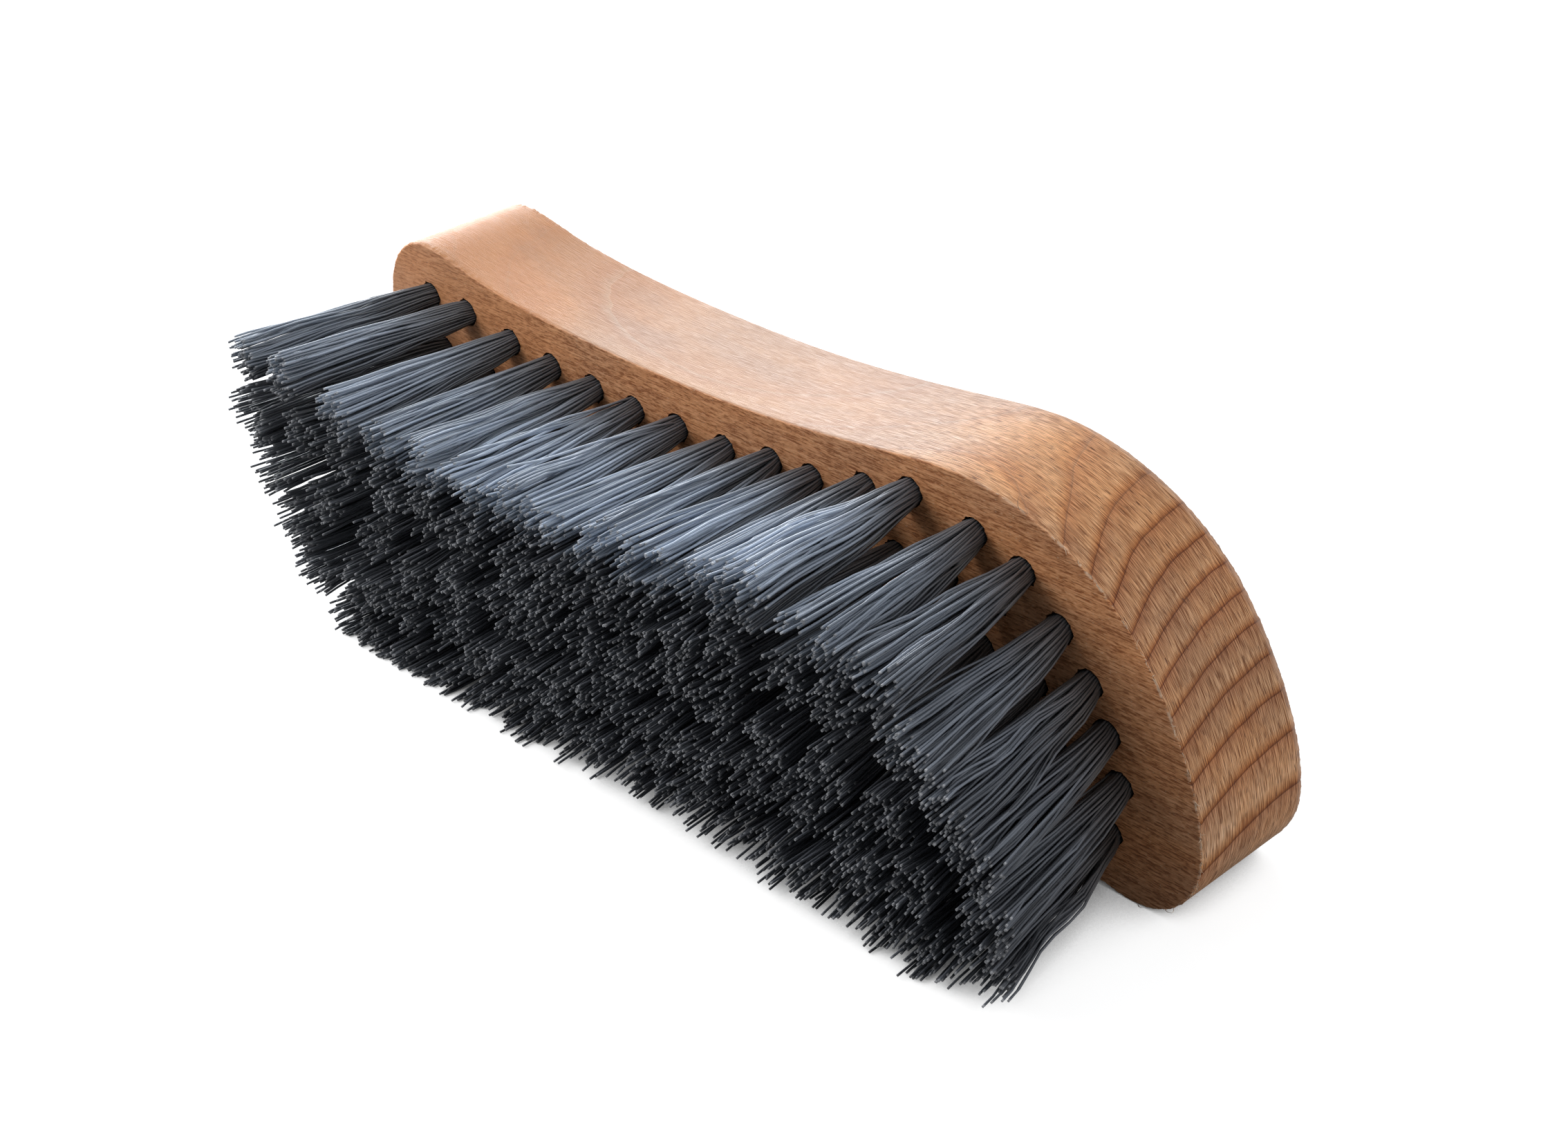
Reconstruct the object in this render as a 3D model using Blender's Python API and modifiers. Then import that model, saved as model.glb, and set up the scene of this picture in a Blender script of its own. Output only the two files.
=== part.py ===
"""Horse brush with an S-shaped beech block and tufts of plastic bristle, lying on its long edge.

X runs along the block, the bristles point to -Y, and Z is up from the surface it lies on.
The outline has no mirror plane: a half turn about the middle of the face brings it onto itself.
The outer tufts run right round the face, and three rows stand inside them.
"""
import math

import bmesh
import bpy
import numpy as np
from mathutils import Matrix, Vector
from mathutils.geometry import interpolate_bezier

for old in list(bpy.data.objects):
    bpy.data.objects.remove(old)

# Driving dimensions of the block
BLOCK_LENGTH = 0.210
BLOCK_HEIGHT = 0.067
BLOCK_THICKNESS = 0.027
HOLLOW_DEPTH = 0.006
HOLLOW_FROM_MIDDLE = 0.022
BULGE_FROM_MIDDLE = 0.0525
TIP_ROUND_LENGTH = 0.0133
TIP_ROUND_HEIGHT = 0.015
SHOULDER_FROM_END = 0.0135
SHOULDER_FROM_TOP = 0.0185
SHOULDER_ANGLE = math.radians(52)
EDGE_BREAK = 0.0008

# Driving dimensions of the holes, the tufts and the wire anchors
HOLE_DIAMETER = 0.0055
HOLE_DEPTH = 0.0130
EDGE_INSET = 0.0095
END_INSET = 0.0155
FIRST_TUFT_PAST_TIP = 0.0010
END_TUFTS_PAST_BULGE = 0.0043
LAST_TUFT_FROM_END = 0.0117
ROW_END_GAP = 0.0130
CORNER_TUFT_BACK = 0.0050
CORNER_TUFT_UP = 0.0020
NEXT_TUFT_BACK = 0.0036
NEXT_TUFT_DOWN = 0.0015
BRISTLE_LENGTH = 0.0395
NECK_LENGTH = 0.0040
STRAND_RADIUS = 0.00055
STRAND_TIP_RADIUS = 0.00060
STRAND_RING_RADIUS = 0.0016
END_SPLAY = 0.0090
SETTLE = 0.0035
ANCHOR_LENGTH = 0.0070
ANCHOR_WIDTH = 0.0020
ANCHOR_THICKNESS = 0.0004
FOLD_THICKNESS = 0.0012
WEB_WIDTH = 0.0030
WEB_THICKNESS = 0.0012

# Clearances, and how far a strand's root lies inside the neck that it grows from
FIT_GAP = 0.0003
ROOT_OVERLAP = 0.0003
TIP_GAP = 0.0003
FLOOR_GAP = 0.0003

# Counts
TUFTS_ALONG_EDGE = 13
TUFTS_ROUND_END = 5
TUFTS_PER_INNER_ROW = 13
OUTER_STRANDS = 5
OUTLINE_STEPS = 8
FINE_OUTLINE_STEPS = 33
ROW_SAMPLES = 421
SECOND_ROW_LEVEL = 0.5
HOLE_SIDES = 12
PLUG_SIDES = 8
TURN_PER_TUFT = math.radians(137.5)

# The length of outline over which its direction is read
TANGENT_STEP = 0.001

# The share of the end tufts' inset that each tuft round the end has taken up
END_INSET_RAMP = 0.6

# The upper row is spaced by eye: shares of its run from each tuft to the next, and of the edge inset for each
UPPER_PITCHES = (13.3, 13.0, 12.0, 12.2, 11.5, 11.9, 12.3, 12.0, 10.0, 13.0, 10.9, 16.1, 13.7, 14.0, 14.4, 11.1, 11.9)
UPPER_INSETS = (
    1.14, 0.95, 0.97, 1.01, 1.01, 1.05, 1.01, 1.05, 0.94, 1.01, 0.86, 0.70, 1.03, 1.12, 1.42, 1.53, 1.61, 1.67
)

# How far each knot's handles reach, as shares of the distance to the next knot
END_REACH_IN, END_REACH_OUT = 0.28, 0.41
TIP_REACH_IN, TIP_REACH_OUT = 0.37, 0.15
HOLLOW_REACH_IN, HOLLOW_REACH_OUT = 0.79, 0.54
BULGE_REACH_IN, BULGE_REACH_OUT = 0.175, 0.36
SHOULDER_REACH_IN, SHOULDER_REACH_OUT = 0.325, 0.33

# Places that follow from the dimensions
FACE_Y = (BRISTLE_LENGTH - BLOCK_THICKNESS) / 2
PLUG_RADIUS = HOLE_DIAMETER / 2 - FIT_GAP
PLUG_DEPTH = HOLE_DEPTH - FIT_GAP
ANCHOR_DEPTH = PLUG_DEPTH - FOLD_THICKNESS - FIT_GAP - ANCHOR_WIDTH / 2
FACE_CENTRE = Vector((0, FACE_Y, BLOCK_HEIGHT / 2))

parts = bpy.data.collections.new("horse_brush")
cutters = bpy.data.collections.new("cutters")
bpy.context.scene.collection.children.link(parts)
bpy.context.scene.collection.children.link(cutters)


def material(name, colour, roughness, metallic=0.0):
    """A Principled material."""
    made = bpy.data.materials.new(name)
    made.use_nodes = True
    shader = made.node_tree.nodes["Principled BSDF"]
    shader.inputs["Base Color"].default_value = (*colour, 1)
    shader.inputs["Roughness"].default_value = roughness
    shader.inputs["Metallic"].default_value = metallic
    return made


beech = material("beech", (0.62, 0.38, 0.21), 0.55)
bristle = material("bristle", (0.12, 0.14, 0.16), 0.40)
steel = material("steel", (0.60, 0.60, 0.62), 0.35, 1.0)


def part_from_mesh(name, mesh, place, finish):
    """A node of the brush."""
    mesh.materials.append(finish)
    made = bpy.data.objects.new(name, mesh)
    made.location = place
    parts.objects.link(made)
    return made


def cutter_from_mesh(name, mesh, place=(0, 0, 0)):
    """A guide that a Boolean uses, left out of the brush itself."""
    made = bpy.data.objects.new(name, mesh)
    made.location = place
    made.display_type = "WIRE"
    made.hide_render = True
    cutters.objects.link(made)
    return made


def boolean(target, tool, operation):
    """Cut or join the target with the tool."""
    step = target.modifiers.new(f"{operation.lower()} {tool.name}", "BOOLEAN")
    step.operation = operation
    step.object = tool
    step.solver = "EXACT"


def mesh_from(bm, name, origin=(0, 0, 0)):
    """The bmesh as a mesh whose own origin lies at the given point."""
    bmesh.ops.translate(bm, verts=bm.verts, vec=-Vector(origin))
    mesh = bpy.data.meshes.new(name)
    bm.to_mesh(mesh)
    bm.free()
    return mesh


def add_rod(bm, start, end, start_radius, end_radius, sides, turn=0.0):
    """A straight rod along Y whose two ends stay flat and square to Y, even where it leans."""
    depth = start.y - end.y
    spin = Matrix.Rotation(turn, 4, "Z")
    made = bmesh.ops.create_cone(
        bm, cap_ends=True, segments=sides, radius1=start_radius, radius2=end_radius, depth=depth, matrix=spin
    )
    for vert in made["verts"]:
        share = vert.co.z / depth + 0.5
        across = Vector((vert.co.x, 0, vert.co.y))
        vert.co = start.lerp(end, share) + across


# The block's outline. Its points are (x, z) from the middle of the face

def outline_knots():
    """The five knots of the upper half, from the left end over the top, then their half turn."""
    end = BLOCK_LENGTH / 2
    top = BLOCK_HEIGHT / 2
    level = Vector((1, 0, 0))
    slope = Vector((math.cos(SHOULDER_ANGLE), -math.sin(SHOULDER_ANGLE), 0))
    upper = [
        (Vector((-end, top - TIP_ROUND_HEIGHT, 0)), Vector((0, 1, 0)), END_REACH_IN, END_REACH_OUT),
        (Vector((TIP_ROUND_LENGTH - end, top, 0)), level, TIP_REACH_IN, TIP_REACH_OUT),
        (Vector((-HOLLOW_FROM_MIDDLE, top - HOLLOW_DEPTH, 0)), level, HOLLOW_REACH_IN, HOLLOW_REACH_OUT),
        (Vector((BULGE_FROM_MIDDLE, top, 0)), level, BULGE_REACH_IN, BULGE_REACH_OUT),
        (
            Vector((end - SHOULDER_FROM_END, top - SHOULDER_FROM_TOP, 0)),
            slope,
            SHOULDER_REACH_IN,
            SHOULDER_REACH_OUT,
        ),
    ]
    lower = [(-point, -way, reach_in, reach_out) for point, way, reach_in, reach_out in upper]
    return upper + lower


def outline_handles():
    """Each knot as its point, its incoming handle and its outgoing handle."""
    knots = outline_knots()
    handles = []
    for index, (point, way, reach_in, reach_out) in enumerate(knots):
        before = knots[index - 1][0]
        after = knots[(index + 1) % len(knots)][0]
        arrive = point - way * reach_in * (point - before).length
        leave = point + way * reach_out * (after - point).length
        handles.append((point, arrive, leave))
    return handles


def upper_stretch(first, last):
    """Fine points on the outline from one knot to a later one, as an array of (x, z)."""
    handles = outline_handles()
    points = []
    for index in range(first, last):
        start, _, leave = handles[index]
        end, arrive, _ = handles[index + 1]
        points += interpolate_bezier(start, leave, arrive, end, FINE_OUTLINE_STEPS)[:-1]
    points.append(handles[last][0])
    return np.array([(point.x, point.y) for point in points])


def lengths_along(points):
    """The distance along the points from the first one."""
    steps = np.linalg.norm(np.diff(points, axis=0), axis=1)
    return np.concatenate([[0.0], np.cumsum(steps)])


def inset_point(points, distance, inset):
    """The point at that distance along the outline, moved square to it into the block."""
    along = lengths_along(points)
    step = TANGENT_STEP
    place = np.array([np.interp(distance, along, points[:, axis]) for axis in (0, 1)])
    behind = np.array([np.interp(distance - step, along, points[:, axis]) for axis in (0, 1)])
    ahead = np.array([np.interp(distance + step, along, points[:, axis]) for axis in (0, 1)])
    way = (ahead - behind) / np.linalg.norm(ahead - behind)
    inward = np.array([way[1], -way[0]])
    return place + inward * inset


def even_row():
    """An evenly spaced outer row under the upper edge, from the left tip round to the right end."""
    edge = upper_stretch(1, 5)
    turn = lengths_along(upper_stretch(1, 3))[-1] + END_TUFTS_PAST_BULGE
    last = lengths_along(edge)[-1] - LAST_TUFT_FROM_END
    row = [
        inset_point(edge, distance, EDGE_INSET)
        for distance in np.linspace(FIRST_TUFT_PAST_TIP, turn, TUFTS_ALONG_EDGE)
    ]
    for index in range(1, TUFTS_ROUND_END + 1):
        way_round = index / TUFTS_ROUND_END
        share = min(1.0, way_round / END_INSET_RAMP)
        inset = EDGE_INSET + (END_INSET - EDGE_INSET) * share
        row.append(inset_point(edge, turn + (last - turn) * way_round, inset))
    return np.array(row)


def upper_row():
    """Hole centres of the row under the upper edge, as unevenly spaced as the real ones."""
    edge = upper_stretch(1, 5)
    run = lengths_along(edge)[-1] - LAST_TUFT_FROM_END - FIRST_TUFT_PAST_TIP
    shares = np.concatenate([[0.0], np.cumsum(UPPER_PITCHES)]) / sum(UPPER_PITCHES)
    distances = FIRST_TUFT_PAST_TIP + run * shares
    return np.array([inset_point(edge, at, EDGE_INSET * share) for at, share in zip(distances, UPPER_INSETS)])


def lower_row():
    """Hole centres along the lower edge: the half turn of an even row, closed up where it meets the upper row."""
    row = -EVEN_ROW
    row[0] += (-CORNER_TUFT_BACK, CORNER_TUFT_UP)
    row[1] += (-NEXT_TUFT_BACK, -NEXT_TUFT_DOWN)
    return row


UPPER_OUTLINE = upper_stretch(0, 5)
EVEN_ROW = even_row()
UPPER_ROW = upper_row()
LOWER_ROW = lower_row()


def edge_height(x):
    """How high the upper edge is above the middle of the face."""
    return np.interp(x, UPPER_OUTLINE[:, 0], UPPER_OUTLINE[:, 1])


def row_height(x, level):
    """Height of the row at that level: 1 is the upper row, 0 the middle one and -1 the lower one."""
    middle = (edge_height(x) - edge_height(-x)) / 2
    half = (edge_height(x) + edge_height(-x)) / 2
    return middle + level * (half - EDGE_INSET)


def ring_reach(height):
    """How far to the right the outer tufts lie at that height."""
    chain = np.vstack([EVEN_ROW[TUFTS_ALONG_EDGE - 1:], -EVEN_ROW[:1]])[::-1]
    return np.interp(height, chain[:, 1], chain[:, 0])


def inner_row(level):
    """Hole centres of a row inside the outer ring, evenly spaced and clear of the ring at both ends."""
    xs = np.linspace(-BLOCK_LENGTH / 2, BLOCK_LENGTH / 2, ROW_SAMPLES)
    heights = row_height(xs, level)
    clear = (xs <= ring_reach(heights) - ROW_END_GAP) & (xs >= ROW_END_GAP - ring_reach(-heights))
    places = np.linspace(xs[clear].min(), xs[clear].max(), TUFTS_PER_INNER_ROW)
    return np.column_stack([places, row_height(places, level)])


ROWS = {
    "upper": UPPER_ROW,
    "second": inner_row(SECOND_ROW_LEVEL),
    "middle": inner_row(0.0),
    "fourth": -inner_row(SECOND_ROW_LEVEL),
    "lower": LOWER_ROW,
}
HOLES = np.vstack(list(ROWS.values()))


def tip_of(hole):
    """Where the middle of a tuft's trimmed end lies: end tufts lean outwards, lower ones lean down."""
    x, z = hole
    half = (edge_height(x) + edge_height(-x)) / 2 - EDGE_INSET
    level = (z - row_height(x, 0.0)) / half
    level = max(-1.0, min(1.0, level))
    outward = END_SPLAY * (x / np.abs(HOLES[:, 0]).max()) ** 3
    return np.array([x + outward, z - SETTLE * (1 - level) / 2])


TIPS = np.array([tip_of(hole) for hole in HOLES])
FLOOR_ROOM = EDGE_INSET - SETTLE - FLOOR_GAP


def spread_at(tip):
    """How far a tuft spreads at its trimmed end: half the way to the next tuft, and clear of the floor."""
    distances = np.sort(np.linalg.norm(TIPS - tip, axis=1))
    return min(distances[1] / 2 - TIP_GAP, FLOOR_ROOM)


def add_strands(bm, hole, turn):
    """One strand in the middle and a ring round it, spreading from the tuft's neck to the trimmed end."""
    tip = tip_of(hole)
    tip_ring_radius = spread_at(tip) - STRAND_TIP_RADIUS
    start = Vector((hole[0], ROOT_OVERLAP - NECK_LENGTH, hole[1]))
    end = Vector((tip[0], -BRISTLE_LENGTH, tip[1]))
    add_rod(bm, start, end, STRAND_RADIUS, STRAND_TIP_RADIUS, 3, turn)
    for index in range(OUTER_STRANDS):
        angle = turn + index * math.tau / OUTER_STRANDS
        way = Vector((math.cos(angle), 0, math.sin(angle)))
        add_rod(
            bm,
            start + way * STRAND_RING_RADIUS,
            end + way * tip_ring_radius,
            STRAND_RADIUS,
            STRAND_TIP_RADIUS,
            3,
            angle,
        )


def add_plug(bm, hole, turn):
    """The folded root of a tuft, from near the bottom of its hole to the top of its neck."""
    bottom = Vector((hole[0], PLUG_DEPTH, hole[1]))
    top = Vector((hole[0], -NECK_LENGTH, hole[1]))
    add_rod(bm, bottom, top, PLUG_RADIUS, PLUG_RADIUS, PLUG_SIDES, turn)


# The block

def flat_curve(name, thickness):
    """An empty 2D curve that fills to a plate of that thickness."""
    curve = bpy.data.curves.new(name, "CURVE")
    curve.dimensions = "2D"
    curve.fill_mode = "BOTH"
    curve.extrude = thickness / 2
    return curve


def mesh_from_curve(curve, place):
    """The plate stood upright in X and Z at the given place, as a welded mesh in world coordinates."""
    plate = bpy.data.objects.new(curve.name, curve)
    plate.location = place
    plate.rotation_euler = (math.pi / 2, 0, 0)
    cutters.objects.link(plate)
    bpy.context.view_layer.update()
    solid = plate.evaluated_get(bpy.context.evaluated_depsgraph_get())
    mesh = bpy.data.meshes.new_from_object(solid)
    mesh.transform(plate.matrix_world)
    bpy.data.objects.remove(plate)
    bm = bmesh.new()
    bm.from_mesh(mesh)
    bmesh.ops.remove_doubles(bm, verts=bm.verts, dist=0.00001)
    bmesh.ops.dissolve_limit(bm, angle_limit=math.radians(0.5), verts=bm.verts, edges=bm.edges)
    bmesh.ops.recalc_face_normals(bm, faces=bm.faces)
    bm.to_mesh(mesh)
    bm.free()
    return mesh


def block_plate():
    """The S-shaped blank, with its long edges lightly broken."""
    curve = flat_curve("block_outline", BLOCK_THICKNESS)
    curve.resolution_u = OUTLINE_STEPS
    spline = curve.splines.new("BEZIER")
    handles = outline_handles()
    spline.bezier_points.add(len(handles) - 1)
    spline.use_cyclic_u = True
    for knot, (point, arrive, leave) in zip(spline.bezier_points, handles):
        knot.handle_left_type = "FREE"
        knot.handle_right_type = "FREE"
        knot.co = point
        knot.handle_left = arrive
        knot.handle_right = leave
    mesh = mesh_from_curve(curve, FACE_CENTRE + Vector((0, BLOCK_THICKNESS / 2, 0)))
    mesh.transform(Matrix.Translation(-FACE_CENTRE))
    plate = part_from_mesh("block", mesh, FACE_CENTRE, beech)
    bevel = plate.modifiers.new("edge break", "BEVEL")
    bevel.width = EDGE_BREAK
    bevel.segments = 2
    bevel.limit_method = "ANGLE"
    bevel.angle_limit = math.radians(60)
    return plate


def drill(name, holes):
    """A cutter with one blind hole for each tuft."""
    bm = bmesh.new()
    for hole in holes:
        bottom = Vector((hole[0], HOLE_DEPTH, hole[1]))
        mouth = Vector((hole[0], -BLOCK_THICKNESS, hole[1]))
        add_rod(bm, bottom, mouth, HOLE_DIAMETER / 2, HOLE_DIAMETER / 2, HOLE_SIDES)
    return cutter_from_mesh(name, mesh_from(bm, name), FACE_CENTRE)


def box_mesh(name, size, place=(0, 0, 0)):
    """A box of that size about the given place."""
    bm = bmesh.new()
    add_box(bm, size, place)
    return mesh_from(bm, name)


def add_box(bm, size, place):
    """Add a box of that size about the given place."""
    scale = Matrix.Diagonal((*size, 1))
    bmesh.ops.create_cube(bm, size=1, matrix=Matrix.Translation(place) @ scale)


def anchor_slots(name, holes, mouth):
    """A cutter with a slot for each wire anchor, from that depth down to just below the anchor."""
    bm = bmesh.new()
    bottom = ANCHOR_DEPTH + ANCHOR_WIDTH / 2 + FIT_GAP
    size = (ANCHOR_LENGTH + 2 * FIT_GAP, bottom - mouth, ANCHOR_THICKNESS + 2 * FIT_GAP)
    for hole in holes:
        add_box(bm, size, Vector((hole[0], (bottom + mouth) / 2, hole[1])))
    return cutter_from_mesh(name, mesh_from(bm, name), FACE_CENTRE)


def web_mesh(name, level_row, width, depth, overshoot):
    """A narrow strip of the face along a row of holes, that deep and reaching that far past its ends."""
    places, heights = level_row.T.copy()
    places[0] -= overshoot
    places[-1] += overshoot
    above = [(x, z + width / 2) for x, z in zip(places, heights)]
    below = [(x, z - width / 2) for x, z in zip(places, heights)]
    curve = flat_curve(name, depth)
    spline = curve.splines.new("POLY")
    ring = above + below[::-1]
    spline.points.add(len(ring) - 1)
    spline.use_cyclic_u = True
    for point, (x, z) in zip(spline.points, ring):
        point.co = (x, z, 0, 1)
    return mesh_from_curve(curve, (0, depth / 2, 0))


block = block_plate()
all_holes = drill("hole_drill", HOLES)
boolean(block, all_holes, "DIFFERENCE")

# The anchors leave tracks in the wood as they are driven in. A tuft is cut only where its anchor sits
tracks = anchor_slots("anchor_tracks", UPPER_ROW, -BLOCK_THICKNESS)
slots = anchor_slots("anchor_slots", UPPER_ROW, ANCHOR_DEPTH - ANCHOR_WIDTH / 2 - FIT_GAP)
boolean(block, tracks, "DIFFERENCE")

# Single tufts of the upper and lower rows, each in its own hole

def single_tuft(name, hole, turn, anchored):
    """One tuft: a folded plug with strands on it, slotted for its anchor where it has one."""
    mouth = Vector((hole[0], 0, hole[1]))
    plug = bmesh.new()
    add_plug(plug, hole, turn)
    strands = bmesh.new()
    add_strands(strands, hole, turn)
    place = FACE_CENTRE + mouth
    tuft = part_from_mesh(name, mesh_from(plug, name, mouth), place, bristle)
    tool = cutter_from_mesh(f"{name}_strands", mesh_from(strands, f"{name}_strands", mouth), place)
    boolean(tuft, tool, "UNION")
    if anchored:
        boolean(tuft, slots, "DIFFERENCE")


anchor_mesh = box_mesh("anchor", (ANCHOR_LENGTH, ANCHOR_WIDTH, ANCHOR_THICKNESS))
anchor_mesh.materials.append(steel)
for number, hole in enumerate(UPPER_ROW, start=1):
    single_tuft(f"tuft_upper_{number:02d}", hole, number * TURN_PER_TUFT, True)
    anchor = bpy.data.objects.new(f"anchor_{number:02d}", anchor_mesh)
    anchor.location = FACE_CENTRE + Vector((hole[0], ANCHOR_DEPTH, hole[1]))
    parts.objects.link(anchor)
for number, hole in enumerate(LOWER_ROW, start=1):
    single_tuft(f"tuft_lower_{number:02d}", hole, number * TURN_PER_TUFT, False)

# The three inner rows. The tufts of a row are joined by a thin web let into the face

def tuft_row(name, row):
    """A row of tufts on the strip of backing that they share."""
    groove = web_mesh(f"{name}_groove", row, WEB_WIDTH + 2 * FIT_GAP, 2 * (WEB_THICKNESS + FIT_GAP), FIT_GAP)
    groove.transform(Matrix.Translation((0, -WEB_THICKNESS - FIT_GAP, 0)))
    boolean(block, cutter_from_mesh(f"{name}_groove", groove, FACE_CENTRE), "DIFFERENCE")
    web = part_from_mesh(name, web_mesh(name, row, WEB_WIDTH, WEB_THICKNESS, 0.0), FACE_CENTRE, bristle)
    plugs = bmesh.new()
    strands = bmesh.new()
    for number, hole in enumerate(row, start=1):
        turn = number * TURN_PER_TUFT
        add_plug(plugs, hole, turn)
        add_strands(strands, hole, turn)
    boolean(web, cutter_from_mesh(f"{name}_plugs", mesh_from(plugs, f"{name}_plugs"), FACE_CENTRE), "UNION")
    tool = cutter_from_mesh(f"{name}_strands", mesh_from(strands, f"{name}_strands"), FACE_CENTRE)
    boolean(web, tool, "UNION")


tuft_row("bristle_row_2", ROWS["second"])
tuft_row("bristle_row_3", ROWS["middle"])
tuft_row("bristle_row_4", ROWS["fourth"][::-1])
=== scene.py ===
"""Looks of the horse brush: an S-shaped beech block with 75 tufts of folded plastic bristle."""
import math
from types import SimpleNamespace

import bmesh
import bpy
import numpy as np
from mathutils import Matrix, Vector, noise
from mathutils.geometry import interpolate_bezier


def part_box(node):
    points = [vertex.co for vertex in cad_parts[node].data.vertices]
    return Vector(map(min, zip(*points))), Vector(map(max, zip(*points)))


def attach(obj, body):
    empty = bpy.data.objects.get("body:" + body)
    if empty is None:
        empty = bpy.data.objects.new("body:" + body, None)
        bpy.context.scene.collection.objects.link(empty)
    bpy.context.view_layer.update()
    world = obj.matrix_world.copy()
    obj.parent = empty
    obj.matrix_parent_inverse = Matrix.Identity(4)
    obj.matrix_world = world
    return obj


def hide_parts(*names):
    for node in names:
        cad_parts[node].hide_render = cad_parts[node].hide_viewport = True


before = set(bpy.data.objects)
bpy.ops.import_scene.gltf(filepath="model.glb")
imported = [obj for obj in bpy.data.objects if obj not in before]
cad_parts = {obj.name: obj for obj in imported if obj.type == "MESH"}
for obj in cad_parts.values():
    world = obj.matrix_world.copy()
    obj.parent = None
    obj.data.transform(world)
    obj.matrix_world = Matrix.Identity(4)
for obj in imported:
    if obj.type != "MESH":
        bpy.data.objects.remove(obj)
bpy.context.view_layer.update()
bpy.ops.object.select_all(action="DESELECT")

# Camera, floor and light
# The camera looks down on the brush from in front of its right end, as in the photograph.
# The floor is a white table whose glow dims into a faint painted shadow close under the brush, and large
# softboxes light the brush.
CAMERA_PLACE = Vector((0.28692, -0.24965, 0.25347))
CAMERA_RIGHT = Vector((0.69497, 0.71799, -0.03886))
CAMERA_UP = Vector((-0.34082, 0.37652, 0.86144))
CAMERA_LENS = 55.556
SENSOR_WIDTH = 36.0
NEAREST_SEEN = 0.01
FLOOR_SIZE = 6.0
BRUSH_MIDDLE = Vector((0.0, 0.0, 0.03))
TABLE_GREY = (0.30, 0.30, 0.30, 1)
TABLE_GLOW = 0.86
SHADE_REACH = 0.05
SHADE_FROM = 0.08
SHADE_TO = 0.40
SKY_COLOUR = (0.92, 0.96, 1.0, 1)
SKY_FILL = 0.18

bpy.ops.object.camera_add(location=CAMERA_PLACE)
camera = bpy.context.object
camera.name = "photo_camera"
camera_axes = (CAMERA_RIGHT, CAMERA_UP, CAMERA_RIGHT.cross(CAMERA_UP))
camera.matrix_world = Matrix.Translation(CAMERA_PLACE) @ Matrix(camera_axes).transposed().to_4x4()
camera.data.sensor_width = SENSOR_WIDTH
camera.data.lens = CAMERA_LENS
camera.data.clip_start = NEAREST_SEEN
bpy.context.scene.camera = camera
bpy.context.scene.view_settings.view_transform = "Standard"


def place_node(tree, kind, inputs, **settings):
    """A shader node with its settings, and its inputs linked to a socket or set to a value."""
    made = tree.nodes.new(f"ShaderNode{kind}")
    for name, value in settings.items():
        setattr(made, name, value)
    for key, value in inputs.items():
        if isinstance(value, bpy.types.NodeSocket):
            tree.links.new(value, made.inputs[key])
        else:
            made.inputs[key].default_value = value
    return made


def plain_material(name):
    """A new material with its Principled shader."""
    made = bpy.data.materials.new(name)
    made.use_nodes = True
    return made, made.node_tree, made.node_tree.nodes["Principled BSDF"]


def white_table():
    """Matt grey that glows white to the camera alone, and glows less close under the brush as a painted
    shadow.
    """
    made, tree, shader = plain_material("white_table")
    shader.inputs["Base Color"].default_value = TABLE_GREY
    shader.inputs["Roughness"].default_value = 0.8
    shader.inputs["Specular IOR Level"].default_value = 0.1
    shader.inputs["Emission Color"].default_value = (1.0, 1.0, 1.0, 1)
    seen = place_node(tree, "LightPath", {}).outputs["Is Camera Ray"]
    # Ambient occlusion dims the glow close under the brush: a painted shadow on the table.
    openness = place_node(tree, "AmbientOcclusion", {"Distance": SHADE_REACH}, samples=8).outputs["AO"]
    shade = {"Value": openness, "From Min": SHADE_FROM, "From Max": SHADE_TO, "To Max": TABLE_GLOW}
    uncovered = place_node(tree, "MapRange", shade).outputs["Result"]
    glow = place_node(tree, "Math", {0: seen, 1: uncovered}, operation="MULTIPLY").outputs[0]
    tree.links.new(glow, shader.inputs["Emission Strength"])
    return made


bpy.ops.mesh.primitive_plane_add(size=FLOOR_SIZE)
floor = bpy.context.object
floor.name = "studio_floor"
floor.data.materials.append(white_table())


def softbox(name, place, size, power, colour=(1.0, 1.0, 1.0)):
    """A square studio light aimed at the middle of the brush."""
    bpy.ops.object.light_add(type="AREA", location=place)
    lamp = bpy.context.object
    lamp.name = name
    lamp.data.size = size
    lamp.data.energy = power
    lamp.data.color = colour
    lamp.rotation_euler = (BRUSH_MIDDLE - Vector(place)).to_track_quat("-Z", "Y").to_euler()


softbox("back_softbox", (-0.95, 0.65, 0.26), 0.70, 13.2, (0.95, 1.0, 1.05))
softbox("top_softbox", (-0.25, 0.35, 1.50), 1.10, 4.8, (0.96, 1.0, 1.05))
softbox("front_softbox", (-0.70, -0.45, 0.75), 0.60, 7.4)
softbox("left_softbox", (-0.90, -0.10, 0.30), 0.50, 3.9)
softbox("side_softbox", (1.10, 0.25, 0.80), 0.80, 6.6)


def studio_white():
    """Surroundings that fill the shadows faintly, and are white where the camera sees past the table."""
    made = bpy.data.worlds.new("studio_white")
    made.use_nodes = True
    tree = made.node_tree
    backdrop = tree.nodes["Background"]
    backdrop.inputs["Color"].default_value = SKY_COLOUR
    seen = place_node(tree, "LightPath", {}).outputs["Is Camera Ray"]
    strength = place_node(tree, "MapRange", {"Value": seen, "To Min": SKY_FILL, "To Max": 1.0})
    tree.links.new(strength.outputs["Result"], backdrop.inputs["Strength"])
    return made


bpy.context.scene.world = studio_white()

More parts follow.
